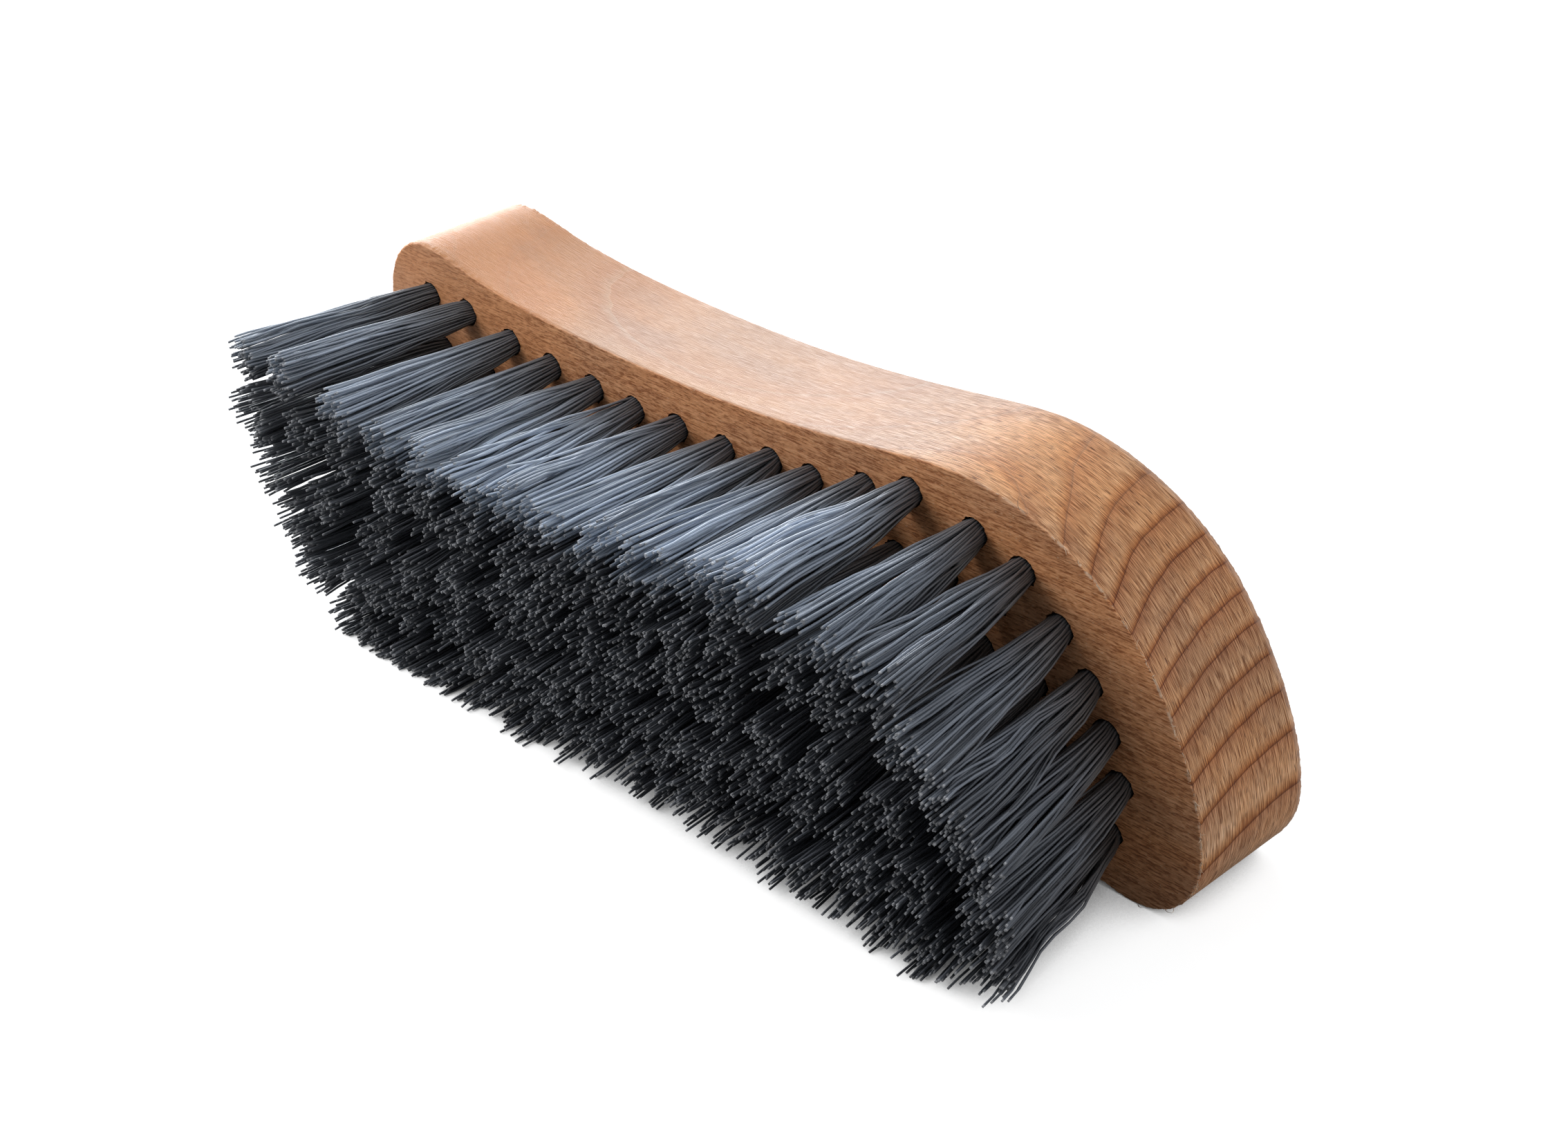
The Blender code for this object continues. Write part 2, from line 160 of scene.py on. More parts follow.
# The block
# One piece of beech, sawn to an S outline and planed flat on its face and back.
# Its two long edges are only rubbed over, and 75 blind holes are drilled in its face.
BLOCK_THICKNESS = 0.027
FACE_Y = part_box("block")[0].y
BLOCK_MIDDLE_Z = (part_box("block")[0].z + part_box("block")[1].z) / 2
FACE_CENTRE = Vector((0, FACE_Y, BLOCK_MIDDLE_Z))
OUTLINE_STEPS = 120
CLOSEST_POINTS = 0.00002
EDGE_BREAK = 0.0005
EDGE_MARGIN = 0.0014
EDGE_SEED = 7
SAW_MARKS_PER_METRE = 900
SPLINTERS_PER_METRE = 2300
LEAST_ROUGHNESS = 0.00003
END_ROUGHNESS = 0.00013
END_GRAIN_FROM = 0.050
END_GRAIN_FADE = 0.035
FRAYING_FADE = 0.025
HOLE_RADIUS = 0.00275
HOLE_DEPTH = 0.0130
HOLE_SIDES = 32
DRILL_SEED = 75
DRILL_OUTSIDE = 0.0004
MOUTH_DEPTHS = (0.0003, 0.0007)
CHIPS = 6
TRACK_REACHES = (0.0004, 0.00022)

# Half of the outline's knots: place across and up from the middle, heading, reach in and out
UPPER_KNOTS = (
    ((-0.1050, 0.0185), 90, 0.28, 0.41),
    ((-0.0917, 0.0335), 0, 0.37, 0.15),
    ((-0.0220, 0.0275), 0, 0.79, 0.54),
    ((0.0525, 0.0335), 0, 0.175, 0.36),
    ((0.0915, 0.0150), -52, 0.325, 0.33),
)


def outline_knots():
    """All ten knots: the upper five, and the same five after half a turn."""
    knots = []
    for turn in (1, -1):
        for (across, up), heading, reach_in, reach_out in UPPER_KNOTS:
            angle = math.radians(heading)
            way = Vector((math.cos(angle), math.sin(angle), 0)) * turn
            knots.append((Vector((across, up, 0)) * turn, way, reach_in, reach_out))
    return knots


def outline_points(first, last):
    """Fine points along the front edge from one knot to a later one, upwards from the left end first."""
    points = []
    knots = outline_knots()
    for index in range(first, last):
        start, way, _, reach_out = knots[index % len(knots)]
        end, end_way, reach_in, _ = knots[(index + 1) % len(knots)]
        apart = (end - start).length
        leave = start + way * reach_out * apart
        arrive = end - end_way * reach_in * apart
        points += interpolate_bezier(start, leave, arrive, end, OUTLINE_STEPS + 1)[:-1]
    return [FACE_CENTRE + Vector((point.x, 0, point.y)) for point in points]


def hole_centres(node):
    """Where the folded roots of a CAD node's tufts sit, as (x, z) read from their deepest rings."""
    same_depth, next_hole = 0.0001, 0.003
    corners = np.array([corner.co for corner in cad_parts[node].data.vertices])
    deepest = corners[corners[:, 1] > corners[:, 1].max() - same_depth]
    deepest = deepest[np.argsort(deepest[:, 0])]
    breaks = np.flatnonzero(np.diff(deepest[:, 0]) > next_hole) + 1
    middles = [(ring.min(axis=0) + ring.max(axis=0)) / 2 for ring in np.split(deepest, breaks)]
    return [(middle[0], middle[2]) for middle in middles]


# Each bristle node with its row's level: 1 under the upper edge, 0 in the middle, -1 at the lower edge
TUFT_NODES = {f"tuft_upper_{number:02d}": 1.0 for number in range(1, 19)}
TUFT_NODES.update({"bristle_row_2": 0.5, "bristle_row_3": 0.0, "bristle_row_4": -0.5})
TUFT_NODES.update({f"tuft_lower_{number:02d}": -1.0 for number in range(1, 19)})
HOLES = {node: hole_centres(node) for node in TUFT_NODES}
ALL_HOLES = [centre for centres in HOLES.values() for centre in centres]


def outline_curve():
    """The S outline drawn as a closed curve in the plane of the face."""
    bpy.ops.curve.primitive_bezier_circle_add(
        radius=BLOCK_THICKNESS, location=FACE_CENTRE, rotation=(math.pi / 2, 0, 0),
    )
    drawn = bpy.context.object
    drawn.name = "beech_block"
    drawn.data.splines.clear()
    drawn.data.resolution_u = OUTLINE_STEPS
    spline = drawn.data.splines.new("BEZIER")
    knots = outline_knots()
    spline.bezier_points.add(len(knots) - 1)
    spline.use_cyclic_u = True
    for index, (point, way, reach_in, reach_out) in enumerate(knots):
        before = knots[index - 1][0]
        after = knots[(index + 1) % len(knots)][0]
        knot = spline.bezier_points[index]
        knot.handle_left_type = knot.handle_right_type = "FREE"
        knot.co = point
        knot.handle_left = point - way * reach_in * (point - before).length
        knot.handle_right = point + way * reach_out * (after - point).length
    return drawn


def block_blank():
    """The outline filled, pulled out to the block's thickness, and broken along both long edges."""
    blank = outline_curve()
    bpy.ops.object.convert(target="MESH")
    bpy.ops.object.transform_apply(location=True, rotation=True, scale=True)
    bpy.ops.object.mode_set(mode="EDIT")
    bpy.ops.mesh.select_all(action="SELECT")
    bpy.ops.mesh.remove_doubles(threshold=CLOSEST_POINTS)
    bpy.ops.mesh.edge_face_add()
    bpy.ops.mesh.extrude_region_move(TRANSFORM_OT_translate={"value": (0, BLOCK_THICKNESS, 0)})
    bpy.ops.mesh.select_all(action="SELECT")
    bpy.ops.mesh.normals_make_consistent(inside=False)
    bpy.ops.mesh.select_mode(type="EDGE")
    bpy.ops.mesh.select_all(action="DESELECT")
    bm = bmesh.from_edit_mesh(blank.data)
    for edge in bm.edges:
        edge.select = abs(edge.verts[0].co.y - edge.verts[1].co.y) < BLOCK_THICKNESS / 2
    bmesh.update_edit_mesh(blank.data)
    bpy.ops.mesh.bevel(offset=EDGE_BREAK, offset_type="OFFSET", segments=3, affect="EDGES")
    for depth in (EDGE_MARGIN, BLOCK_THICKNESS - EDGE_MARGIN):
        bpy.ops.mesh.select_all(action="SELECT")
        bpy.ops.mesh.bisect(plane_co=(0, FACE_Y + depth, 0), plane_no=(0, 1, 0))
    bpy.ops.object.mode_set(mode="OBJECT")
    return blank


def roughen_edges(blank):
    """Both long edges are a little uneven, most of all where the saw crosses the end grain."""
    noise.seed_set(EDGE_SEED)
    for corner in blank.data.vertices:
        from_face = corner.co.y - FACE_Y
        if min(from_face, BLOCK_THICKNESS - from_face) > EDGE_BREAK * 1.05:
            continue
        end_grain = min(1.0, max(0.0, (abs(corner.co.x) - END_GRAIN_FROM) / END_GRAIN_FADE))
        amount = LEAST_ROUGHNESS + END_ROUGHNESS * end_grain
        shift = noise.noise_vector(corner.co * SAW_MARKS_PER_METRE)
        shift += noise.noise_vector(corner.co * SPLINTERS_PER_METRE) * 0.8
        corner.co.x += shift.x * amount
        corner.co.z = max(0.0, corner.co.z + shift.z * amount)


def drill_bit(rng, centre):
    """One blind hole, torn a little at its mouth, with the two tracks that its wire anchor cut."""
    middle = Vector((centre[0], FACE_Y + (HOLE_DEPTH - DRILL_OUTSIDE) / 2, centre[1]))
    bpy.ops.mesh.primitive_cylinder_add(
        vertices=HOLE_SIDES, radius=HOLE_RADIUS, depth=HOLE_DEPTH + DRILL_OUTSIDE, location=middle,
        rotation=(math.pi / 2, 0, 0),
    )
    bpy.ops.object.transform_apply(location=True, rotation=True, scale=True)
    bpy.ops.object.mode_set(mode="EDIT")
    bpy.ops.mesh.select_all(action="SELECT")
    bpy.ops.mesh.bisect(plane_co=(0, FACE_Y + rng.uniform(*MOUTH_DEPTHS), 0), plane_no=(0, 1, 0))
    bpy.ops.object.mode_set(mode="OBJECT")
    bit = bpy.context.object
    tears = rng.uniform(0.0, 0.09, HOLE_SIDES)
    tears[rng.integers(0, HOLE_SIDES, CHIPS)] += rng.uniform(0.05, 0.18, CHIPS)
    for corner in bit.data.vertices:
        out = Vector((corner.co.x - centre[0], 0, corner.co.z - centre[1]))
        side = round(math.atan2(out.z, out.x) / math.tau * HOLE_SIDES) % HOLE_SIDES
        from_track = abs((side + HOLE_SIDES // 4) % (HOLE_SIDES // 2) - HOLE_SIDES // 4)
        if from_track < len(TRACK_REACHES):
            corner.co += out.normalized() * TRACK_REACHES[from_track]
        elif corner.co.y < FACE_Y:
            corner.co += out * tears[side]
    return bit


def drill_holes(blank):
    """Cut all 75 holes with one set of drill bits."""
    rng = np.random.default_rng(DRILL_SEED)
    bpy.ops.object.select_all(action="DESELECT")
    bits = [drill_bit(rng, centre) for centre in ALL_HOLES]
    for bit in bits:
        bit.select_set(True)
    bpy.ops.object.join()
    bits = bpy.context.object
    bpy.ops.object.select_all(action="DESELECT")
    bpy.context.view_layer.objects.active = blank
    blank.select_set(True)
    cut = blank.modifiers.new("tuft holes", "BOOLEAN")
    cut.operation = "DIFFERENCE"
    cut.solver = "EXACT"
    cut.object = bits
    bpy.ops.object.modifier_apply(modifier=cut.name)
    bpy.data.objects.remove(bits)
    bpy.ops.object.shade_smooth_by_angle(angle=math.radians(40))
    soften = blank.modifiers.new("flat faces stay flat", "WEIGHTED_NORMAL")
    soften.keep_sharp = True
    bpy.ops.object.modifier_apply(modifier=soften.name)


def mark_edge_run(blank):
    """Keep on each corner how far round the outline it lies from the left end, in millimetres."""
    outline = np.array([(point.x, point.z) for point in outline_points(0, 10)])
    steps = np.linalg.norm(np.diff(outline, axis=0, append=outline[:1]), axis=1)
    run = np.concatenate([[0.0], np.cumsum(steps)[:-1]])
    run = np.minimum(run, steps.sum() - run)
    layer = blank.data.attributes.new("edge_run", "FLOAT", "POINT")
    for corner, mark in zip(blank.data.vertices, layer.data):
        nearest = np.argmin((outline[:, 0] - corner.co.x) ** 2 + (outline[:, 1] - corner.co.z) ** 2)
        mark.value = 1000 * run[nearest]


block = block_blank()
roughen_edges(block)
drill_holes(block)
mark_edge_run(block)

# Beech's colours, the tints that its parts, fibres and worn places give them, and painted light and shade:
# a painted sheen on the hollow, painted light on the ends and face, painted shade in the holes
PLAIN_BEECH = (0.60, 0.295, 0.140, 1)
PALE_RING_LINE = (0.72, 0.46, 0.29, 1)
HOLLOW_SHEEN_BEECH = (0.53, 0.375, 0.272, 1)
LEFT_TOP_TINT = (0.93, 0.86, 0.70, 1)
RIGHT_TOP_TINT = (1.24, 1.30, 1.30, 1)
ENDS_PAINTED_LIGHT_TINT = (1.28, 1.40, 1.56, 1)
ORANGE_DRIFT = (1.05, 0.98, 0.92, 1)
PINK_DRIFT = (0.93, 0.93, 0.98, 1)
FACE_PAINTED_LIGHT_TINT = (1.18, 1.11, 1.06, 1)
DARK_FIBRE_TINT = (0.42, 0.30, 0.20, 1)
PALE_FIBRE_TINT = (1.38, 1.58, 1.80, 1)
PORE_BROWN = (0.15, 0.050, 0.018, 1)
RUSTY_FLECK = (0.37, 0.115, 0.028, 1)
BRIGHT_SPECK = (0.82, 0.62, 0.42, 1)
BLEACHED_RIM = (0.80, 0.56, 0.43, 1)
FRAYED_BEECH = (0.76, 0.58, 0.42, 1)
DRILLED_AND_SHADED_TINT = (0.35, 0.28, 0.22, 1)

# How many year rings lie at the block's middle height, and how the count changes up the block
RINGS_AT_MIDDLE = 8.0192
RINGS_PER_MM = -0.16222
RINGS_PER_MM_SQUARED = -0.002485

# A year ring from just past its edge to its dark late wood, as a share of its width and a colour
RING_STOPS = (
    (0.00, (0.445, 0.175, 0.070)),
    (0.08, (0.490, 0.212, 0.090)),
    (0.35, (0.570, 0.280, 0.128)),
    (0.70, (0.650, 0.340, 0.160)),
    (0.84, (0.560, 0.245, 0.092)),
    (0.925, (0.430, 0.150, 0.042)),
    (0.965, (0.270, 0.076, 0.016)),
    (0.988, (0.130, 0.034, 0.007)),
    (1.00, (0.445, 0.175, 0.070)),
)


def new_group(name, inputs, outputs):
    """An empty node group with its named inputs and outputs."""
    tree = bpy.data.node_groups.new(name, "ShaderNodeTree")
    for label, kind, value in inputs:
        socket = tree.interface.new_socket(label, in_out="INPUT", socket_type=kind)
        socket.default_value = value
    for label, kind in outputs:
        tree.interface.new_socket(label, in_out="OUTPUT", socket_type=kind)
    return tree, tree.nodes.new("NodeGroupInput"), tree.nodes.new("NodeGroupOutput")


def calc(tree, operation, first, second=0.0):
    """The result of one sum on numbers."""
    return place_node(tree, "Math", {0: first, 1: second}, operation=operation).outputs[0]


def times(tree, *factors):
    """Several numbers multiplied together."""
    product = factors[0]
    for factor in factors[1:]:
        product = calc(tree, "MULTIPLY", product, factor)
    return product


def spread_range(tree, value, low, high, to_low=0.0, to_high=1.0):
    """The value moved smoothly from one range to another, and held at its limits."""
    inputs = {"Value": value, "From Min": low, "From Max": high, "To Min": to_low, "To Max": to_high}
    return place_node(tree, "MapRange", inputs, interpolation_type="SMOOTHSTEP").outputs["Result"]


def blend_colour(tree, share, first, second, blend_type="MIX"):
    """Two colours blended."""
    inputs = {0: share, 6: first, 7: second}
    return place_node(tree, "Mix", inputs, data_type="RGBA", blend_type=blend_type).outputs[2]


def tinted(tree, share, colour, tint):
    """A colour multiplied by a tint, as far as the share says."""
    return blend_colour(tree, share, colour, tint, "MULTIPLY")


def grain_noise(tree, place, stretch, detail=2.0, roughness=0.5):
    """Noise whose cells have the given counts for each unit of length along X, Y and Z."""
    scaled = place_node(tree, "VectorMath", {0: place, 1: stretch}, operation="MULTIPLY").outputs[0]
    inputs = {"Vector": scaled, "Scale": 1.0, "Detail": detail, "Roughness": roughness}
    return place_node(tree, "TexNoise", inputs).outputs["Fac"]


def read_spot(tree, run):
    """What the wood's look depends on: its place in millimetres from the back's middle, and its side."""
    own_place = place_node(tree, "TexCoord", {}).outputs["Object"]
    middle = (0.0, -1000 * (FACE_Y + BLOCK_THICKNESS), -1000 * BLOCK_MIDDLE_Z)
    scaled = {"Vector": own_place, "Location": middle, "Scale": (1000,) * 3}
    place = place_node(tree, "Mapping", scaled).outputs[0]
    axes = place_node(tree, "SeparateXYZ", {"Vector": place})
    facing = place_node(tree, "NewGeometry", {}).outputs["Normal"]
    facing = place_node(tree, "SeparateXYZ", {"Vector": facing})
    end_grain = spread_range(tree, calc(tree, "ABSOLUTE", facing.outputs["X"]), 0.15, 0.65)
    face_side = spread_range(tree, calc(tree, "ABSOLUTE", facing.outputs["Y"]), 0.5, 0.9)
    return SimpleNamespace(
        place=place,
        across=axes.outputs["X"],
        depth=axes.outputs["Y"],
        up=axes.outputs["Z"],
        run=run,
        end_grain=end_grain,
        face_side=face_side,
        off_face=calc(tree, "SUBTRACT", 1.0, face_side),
        on_top=calc(tree, "SUBTRACT", 1.0, calc(tree, "MAXIMUM", end_grain, face_side)),
    )


def edge_strokes(tree, spot, fine, length, detail=2.0):
    """Noise in strokes of a length that follow the outline, with a count across each millimetre."""
    along = times(tree, spot.run, 1 / length)
    drawn = place_node(tree, "CombineXYZ", {"X": along, "Y": times(tree, spot.depth, fine)}).outputs[0]
    inputs = {"Vector": drawn, "Scale": 1.0, "Detail": detail, "Roughness": 0.6}
    return place_node(tree, "TexNoise", inputs).outputs["Fac"]


def ring_level(tree, spot):
    """The height that the year rings follow: they arch over a heart that lay below the block."""
    arch = spread_range(tree, spot.across, -20.0, 75.0, 0.0040, 0.0069)
    drop = times(tree, spot.depth, spot.depth, arch)
    wander = calc(tree, "SUBTRACT", grain_noise(tree, spot.place, (0.012, 0.05, 0.05), 0.0), 0.5)
    waver = calc(tree, "SUBTRACT", grain_noise(tree, spot.place, (0.035, 0.16, 0.14), 1.0), 0.5)
    moved = calc(tree, "ADD", times(tree, wander, 0.8), times(tree, waver, 0.55))
    moved = calc(tree, "ADD", moved, spread_range(tree, spot.across, 0.0, -55.0, 0.0, 0.9))
    return calc(tree, "ADD", calc(tree, "ADD", spot.up, drop), moved)


def ringed_wood(tree, spot):
    """Year rings, strong where the ends cross them and soft with a pale line along the top."""
    level = ring_level(tree, spot)
    rings = times(tree, level, level, RINGS_PER_MM_SQUARED)
    rings = calc(tree, "ADD", rings, times(tree, level, RINGS_PER_MM))
    within = calc(tree, "FRACT", calc(tree, "ADD", rings, RINGS_AT_MIDDLE))
    ring_ramp = place_node(tree, "ValToRGB", {"Fac": within})
    ramp = ring_ramp.color_ramp
    ramp.elements.remove(ramp.elements[1])
    for index, (share, colour) in enumerate(RING_STOPS):
        stop = ramp.elements[0] if index == 0 else ramp.elements.new(share)
        stop.position = share
        stop.color = (*colour, 1)
    crossing = place_node(tree, "Mix", {0: spot.end_grain, 2: 0.45, 3: 1.0}).outputs[0]
    softer_face = calc(tree, "SUBTRACT", 1.0, times(tree, spot.face_side, 0.6))
    softer_left = spread_range(tree, spot.across, -75.0, -35.0, 0.25, 1.0)
    crossing = times(tree, crossing, softer_face, softer_left)
    wood = blend_colour(tree, crossing, PLAIN_BEECH, ring_ramp.outputs["Color"])
    pale_line = times(tree, spread_range(tree, within, 0.90, 0.99), times(tree, spot.on_top, 0.45))
    fainter_right = spread_range(tree, spot.across, 55.0, 25.0, 0.2, 1.0)
    fainter_left = spread_range(tree, spot.across, -75.0, -45.0, 0.25, 1.0)
    pale_line = times(tree, pale_line, fainter_right, fainter_left)
    return blend_colour(tree, pale_line, wood, PALE_RING_LINE)


def coloured_wood(tree, spot, wood):
    """Changes of colour along the block: golden left top, pale right top, a painted sheen that pales the
    hollow, and painted light on the low right end, the left end and the face.
    """
    past_left = spread_range(tree, spot.across, -65.0, -30.0)
    before_right = spread_range(tree, spot.across, 62.0, 35.0)
    # Painted sheen: the top of the hollow is blended halfway towards a paler, greyer beech.
    hollow = times(tree, past_left, before_right, times(tree, spot.on_top, 0.50))
    wood = blend_colour(tree, hollow, wood, HOLLOW_SHEEN_BEECH)
    left_top = times(tree, spot.on_top, spread_range(tree, spot.across, -30.0, -60.0))
    wood = tinted(tree, left_top, wood, LEFT_TOP_TINT)
    right_top = times(tree, spot.on_top, spread_range(tree, spot.across, 25.0, 55.0))
    wood = tinted(tree, right_top, wood, RIGHT_TOP_TINT)
    # Painted light: the low right end, where light bounces up from the table, and the left end are tinted
    # paler and brighter.
    at_right = spread_range(tree, spot.across, 60.0, 90.0)
    low_right = times(tree, spread_range(tree, spot.up, 2.0, -18.0), at_right)
    left_end = spread_range(tree, spot.across, -84.0, -98.0)
    painted_lit_ends = times(tree, spot.end_grain, calc(tree, "MAXIMUM", low_right, left_end))
    wood = tinted(tree, painted_lit_ends, wood, ENDS_PAINTED_LIGHT_TINT)
    patches = spread_range(tree, grain_noise(tree, spot.place, (0.03, 0.10, 0.08), 3.0), 0.35, 0.65)
    wood = tinted(tree, 1.0, wood, blend_colour(tree, patches, ORANGE_DRIFT, PINK_DRIFT))
    # Painted light: the face side is tinted lighter and warmer than the edges.
    return blend_colour(tree, spot.face_side, wood, tinted(tree, 1.0, wood, FACE_PAINTED_LIGHT_TINT))


def fibre_streaks(tree, spot):
    """Fine strokes along the edges, and long thin lines along the grain on the face."""
    fine = edge_strokes(tree, spot, 9.0, 4.0, 1.0)
    coarse = edge_strokes(tree, spot, 3.8, 9.0, 1.0)
    band = calc(tree, "ADD", times(tree, fine, 0.7), times(tree, coarse, 0.3))
    lines = grain_noise(tree, spot.place, (0.16, 0.8, 4.5), 2.0, 0.6)
    flecks = grain_noise(tree, spot.place, (0.60, 0.8, 2.8), 2.0, 0.65)
    face = calc(tree, "ADD", times(tree, lines, 0.45), times(tree, flecks, 0.55))
    return place_node(tree, "Mix", {0: spot.face_side, 2: band, 3: face}).outputs[0]


def streak_gain(tree, spot):
    """How strongly the fibres show: most at the sawn right end, least on the smooth left top."""
    gain = place_node(tree, "Mix", {0: spot.face_side, 2: 0.25, 3: 0.80}).outputs[0]
    crossed = times(tree, spot.end_grain, spread_range(tree, spot.across, -60.0, 20.0), 0.75)
    rough_top = times(tree, spot.on_top, spread_range(tree, spot.across, 10.0, 50.0, 0.0, 0.55))
    gain = calc(tree, "ADD", calc(tree, "ADD", gain, crossed), rough_top)
    smooth_left = times(tree, spot.on_top, spread_range(tree, spot.across, -40.0, -85.0, 0.0, 0.6))
    towards_right = spread_range(tree, spot.across, -100.0, -45.0, 0.55, 1.0)
    return times(tree, gain, towards_right, calc(tree, "SUBTRACT", 1.0, smooth_left))


def open_pores(tree, spot):
    """The short dark cuts of open pores, most of them at the right end and none on the face."""
    cuts = spread_range(tree, edge_strokes(tree, spot, 8.0, 2.2, 0.0), 0.63, 0.69)
    return times(tree, cuts, spot.off_face, spread_range(tree, spot.across, 15.0, 60.0, 0.22, 1.0))


def flecked_face(tree, spot, wood):
    """The face's rusty flecks and its few bright specks."""
    flecks = spread_range(tree, grain_noise(tree, spot.place, (0.42, 1.0, 1.9), 1.0), 0.62, 0.72)
    flecks = times(tree, flecks, times(tree, spot.face_side, 0.70))
    wood = blend_colour(tree, flecks, wood, RUSTY_FLECK)
    specks = spread_range(tree, grain_noise(tree, spot.place, (1.6, 1.0, 5.0), 0.0), 0.72, 0.80)
    specks = times(tree, specks, times(tree, spot.face_side, 0.5))
    return blend_colour(tree, specks, wood, BRIGHT_SPECK)


def bleached_back_edge(tree, spot, wood):
    """The back edge of the right end's grain, bleached in a thin uneven strip."""
    uneven = times(tree, edge_strokes(tree, spot, 1.0, 3.0), 1.6)
    strip = spread_range(tree, calc(tree, "ADD", spot.depth, uneven), -0.9, 0.4)
    rim = times(tree, strip, spread_range(tree, spot.across, 30.0, 70.0), spot.off_face)
    return blend_colour(tree, times(tree, rim, 0.45), wood, BLEACHED_RIM)


def beech_figure():
    """Beech as it grows and as it is worked. Lengths in it are millimetres."""
    tree, given, result = new_group(
        "beech_figure",
        [
            ("Edge Run", "NodeSocketFloat", 0.0),
            ("Tint", "NodeSocketColor", (1, 1, 1, 1)),
        ],
        [("Color", "NodeSocketColor"), ("Height", "NodeSocketFloat"), ("Streaks", "NodeSocketFloat")],
    )
    spot = read_spot(tree, given.outputs["Edge Run"])
    wood = ringed_wood(tree, spot)
    wood = coloured_wood(tree, spot, wood)
    streaks = fibre_streaks(tree, spot)
    gain = streak_gain(tree, spot)
    dark_share = times(tree, spread_range(tree, streaks, 0.50, 0.40), gain)
    pale_share = times(tree, spread_range(tree, streaks, 0.50, 0.62), gain)
    wood = tinted(tree, dark_share, wood, DARK_FIBRE_TINT)
    wood = tinted(tree, pale_share, wood, PALE_FIBRE_TINT)
    pores = open_pores(tree, spot)
    wood = blend_colour(tree, times(tree, pores, 0.85), wood, PORE_BROWN)
    wood = flecked_face(tree, spot, wood)
    wood = bleached_back_edge(tree, spot, wood)
    wood = tinted(tree, 1.0, wood, given.outputs["Tint"])
    streak_shade = spread_range(tree, streaks, 0.40, 0.60)
    tree.links.new(wood, result.inputs["Color"])
    height = calc(tree, "SUBTRACT", streak_shade, times(tree, pores, 1.2))
    tree.links.new(height, result.inputs["Height"])
    tree.links.new(streak_shade, result.inputs["Streaks"])
    return tree


def beech_material(name, tint, bump):
    """Beech in one of its finishes, bleached and furry where its edge is frayed."""
    made, tree, shader = plain_material(name)
    figure = place_node(tree, "Group", {}, node_tree=beech_grain)
    edge_run = place_node(tree, "Attribute", {}, attribute_name="edge_run").outputs["Fac"]
    tree.links.new(edge_run, figure.inputs["Edge Run"])
    figure.inputs["Tint"].default_value = tint
    worn = place_node(tree, "Attribute", {}, attribute_name="frayed_edge").outputs["Fac"]
    spot = place_node(tree, "TexCoord", {}).outputs["Object"]
    broken = place_node(tree, "TexNoise", {"Vector": spot, "Scale": 500.0, "Detail": 3.0}).outputs["Fac"]
    fray = times(tree, worn, spread_range(tree, broken, 0.50, 0.60))
    wood = blend_colour(tree, fray, figure.outputs["Color"], FRAYED_BEECH)
    tree.links.new(wood, shader.inputs["Base Color"])
    rough = spread_range(tree, figure.outputs["Streaks"], 0.0, 1.0, 0.58, 0.44)
    tree.links.new(rough, shader.inputs["Roughness"])
    shader.inputs["Specular IOR Level"].default_value = 0.4
    inputs = {"Height": figure.outputs["Height"], "Strength": bump, "Distance": 0.00006}
    tree.links.new(place_node(tree, "Bump", inputs).outputs["Normal"], shader.inputs["Normal"])
    return made


def inside_hole(point):
    """Whether the point lies on a hole's wall or floor."""
    if not FACE_Y + 0.0001 < point.y < FACE_Y + HOLE_DEPTH + 0.0001:
        return False
    return min((point.x - x) ** 2 + (point.z - z) ** 2 for x, z in ALL_HOLES) < (HOLE_RADIUS * 1.3) ** 2


def mark_drilled(blank):
    """Give the walls and floors of the holes the second material, darker as drilled end grain and as
    painted shade in the recess.
    """
    for polygon in blank.data.polygons:
        polygon.material_index = 1 if inside_hole(polygon.center) else 0


def mark_frayed_edge(blank):
    """Keep on each corner of the front edge how frayed it is, most of all at the right end."""
    layer = blank.data.attributes.new("frayed_edge", "FLOAT", "POINT")
    for corner, wear in zip(blank.data.vertices, layer.data):
        on_break = 0.05 * EDGE_BREAK < corner.co.y - FACE_Y < 0.5 * EDGE_BREAK
        at_end = min(1.0, max(0.0, (corner.co.x - END_GRAIN_FROM) / FRAYING_FADE))
        wear.value = on_break * (0.05 + 0.50 * at_end)


beech_grain = beech_figure()
block.data.materials.clear()
block.data.materials.append(beech_material("planed_beech", (1.0, 1.0, 1.0, 1), 0.5))
# The holes' material is darker: drilled end grain, and painted shade in the recess.
block.data.materials.append(beech_material("drilled_shaded_beech", DRILLED_AND_SHADED_TINT, 0.8))
mark_drilled(block)
mark_frayed_edge(block)
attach(block, "root")
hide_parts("block")

# The frayed fibres
# The saw left torn fibres standing along the front edge, most of them where it crosses the end grain.
# They are slivers of the same beech, most of them lying on the edge and some curled away from it.
FIBRE_SEED = 31
FIBRE_RADIUS = 0.00005
FIBRE_TRIES = 130
LYING_SHARE = 0.75
LEAST_FOOT_HEIGHT = 0.006

# The long fibres: how far along the frayed stretch of the edge each stands, as a share, and its length
LONG_FIBRES = (
    (0.10, 0.0030), (0.24, 0.0016), (0.62, 0.0014), (0.86, 0.0018), (0.89, 0.0013), (0.985, 0.0020),
)

# Along a fibre: how far its points lie from its foot, as a share, and how thick it still is there
FIBRE_SHARES = (0, 0.3, 0.6, 1.0)
FIBRE_TAPER = (1.0, 0.9, 0.65, 0.2)


def sliver(rng, foot, way, length, curl):
    """One torn fibre as a row of points that bends away from its foot."""
    side = way.cross(Vector(rng.normal(0, 1, 3))).normalized()
    places = []
    for share in FIBRE_SHARES:
        places.append(foot + way * length * share + side * curl * length * share * share)
    return [Vector((place.x, place.y, max(place.z, 0.0001))) for place in places]


def edge_ways(edge, index):
    """The way along the edge at one of its points, and the way out of the wood there."""
    along = (edge[index + 1] - edge[index]).normalized()
    return along, Vector((-along.z, 0, along.x))


